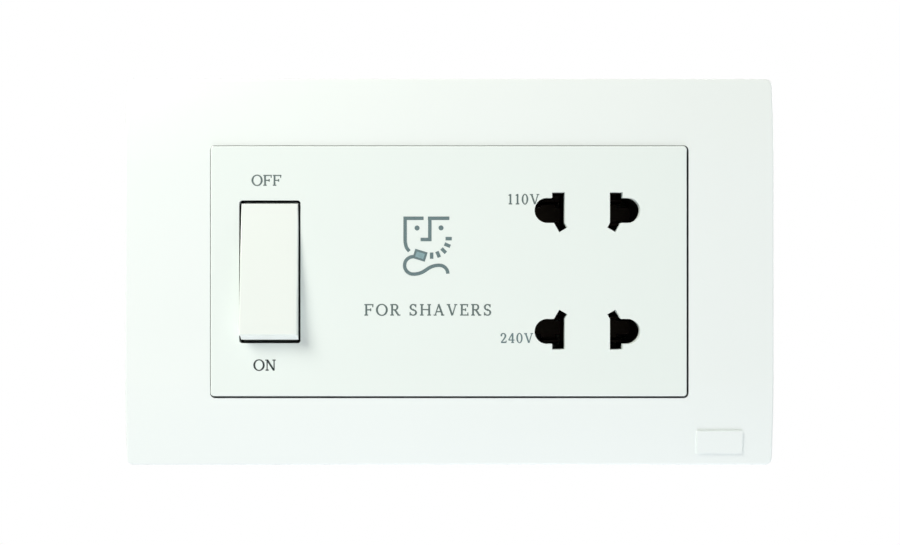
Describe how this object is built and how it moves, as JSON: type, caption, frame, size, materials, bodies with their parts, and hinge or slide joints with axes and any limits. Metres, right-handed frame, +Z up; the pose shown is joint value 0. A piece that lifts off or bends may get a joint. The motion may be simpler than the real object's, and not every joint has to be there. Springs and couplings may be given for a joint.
{
  "type": "shaver socket",
  "caption": "Wall-mounted dual-voltage shaver socket: white frame and inset panel, rocker switch, paired pin outlets, isolating transformer in a rear housing.",
  "frame": {"origin": "midway between the wall-fixing holes, on the wall plane", "axes": "+X along the plate, +Z up, the front faces -Y and the rear housing goes into the wall along +Y"},
  "size_m": [0.147, 0.0493, 0.088],
  "materials": {
    "white_moulding": "satin moulded white with a fine eggshell grain",
    "rocker_white": "smooth glossy moulded white",
    "housing_white": "matt moulded off-white",
    "black_moulding": "matt black moulding",
    "natural_nylon": "natural cream moulding",
    "contact_brass": "bright rolled strip",
    "zinc_steel": "zinc plated",
    "core_steel": "stacked lamination edges, lightly varnished",
    "enamelled_copper": "wound enamelled wire under clear tape",
    "lead_brown": "smooth wire insulation",
    "lead_blue": "smooth wire insulation",
    "lead_green": "smooth wire insulation",
    "lead_white": "smooth wire insulation"
  },
  "bodies": {
    "housing": {"front_frame": "white_moulding", "socket_panel": "white_moulding", "mounting_plate": "housing_white", "rear_housing": "housing_white", "switch_base": "black_moulding", "common_terminal": "contact_brass", "fixed_contact": "contact_brass", "contact_carrier": "black_moulding", "carrier_screws": "zinc_steel", "contact_110_left": "contact_brass", "contact_110_right": "contact_brass", "contact_240_left": "contact_brass", "contact_240_right": "contact_brass", "common_link": "contact_brass", "housing_screws": "zinc_steel", "core_e_stack": "core_steel", "core_i_stack": "core_steel", "coil_bobbin": "natural_nylon", "coil_pins": "contact_brass", "primary_winding": "enamelled_copper", "secondary_winding": "enamelled_copper", "upper_core_clamp": "zinc_steel", "lower_core_clamp": "zinc_steel", "clamp_screws": "zinc_steel", "thermal_cutout": "black_moulding", "terminal_block": "black_moulding", "terminal_live": "contact_brass", "terminal_neutral": "contact_brass", "terminal_earth": "contact_brass", "terminal_screws": "zinc_steel", "lead_live": "lead_brown", "lead_switched": "lead_brown", "lead_cutout": "lead_brown", "lead_neutral": "lead_blue", "lead_earth": "lead_green", "lead_110": "lead_white", "lead_common": "lead_white", "lead_240": "lead_white"},
    "rocker": {"rocker": "rocker_white", "detent_spring": "zinc_steel"},
    "plunger": {"detent_plunger": "natural_nylon"},
    "seesaw": {"moving_contact": "contact_brass"}
  },
  "joints": [
    {"name": "rocker_tilt", "type": "hinge", "parent": "housing", "child": "rocker", "pos_m": [-0.04057, -0.0045, 0], "axis": [1, 0, 0], "range_deg": [0, 12]},
    {"name": "plunger_slide", "type": "slide", "parent": "rocker", "child": "plunger", "axis": [0, -0.9945, 0.1045], "range_m": [0, 0.0006], "stiffness_N_per_m": 300, "springref_m": -0.002, "deforming": ["detent_spring"]},
    {"name": "contact_tilt", "type": "hinge", "parent": "housing", "child": "seesaw", "pos_m": [-0.04057, 0.0075, 0], "axis": [1, 0, 0], "range_deg": [-16, 0]}
  ],
  "couplings": [
    {"joint": "contact_tilt", "follows": "rocker_tilt", "ratio": -1.3333}
  ]
}
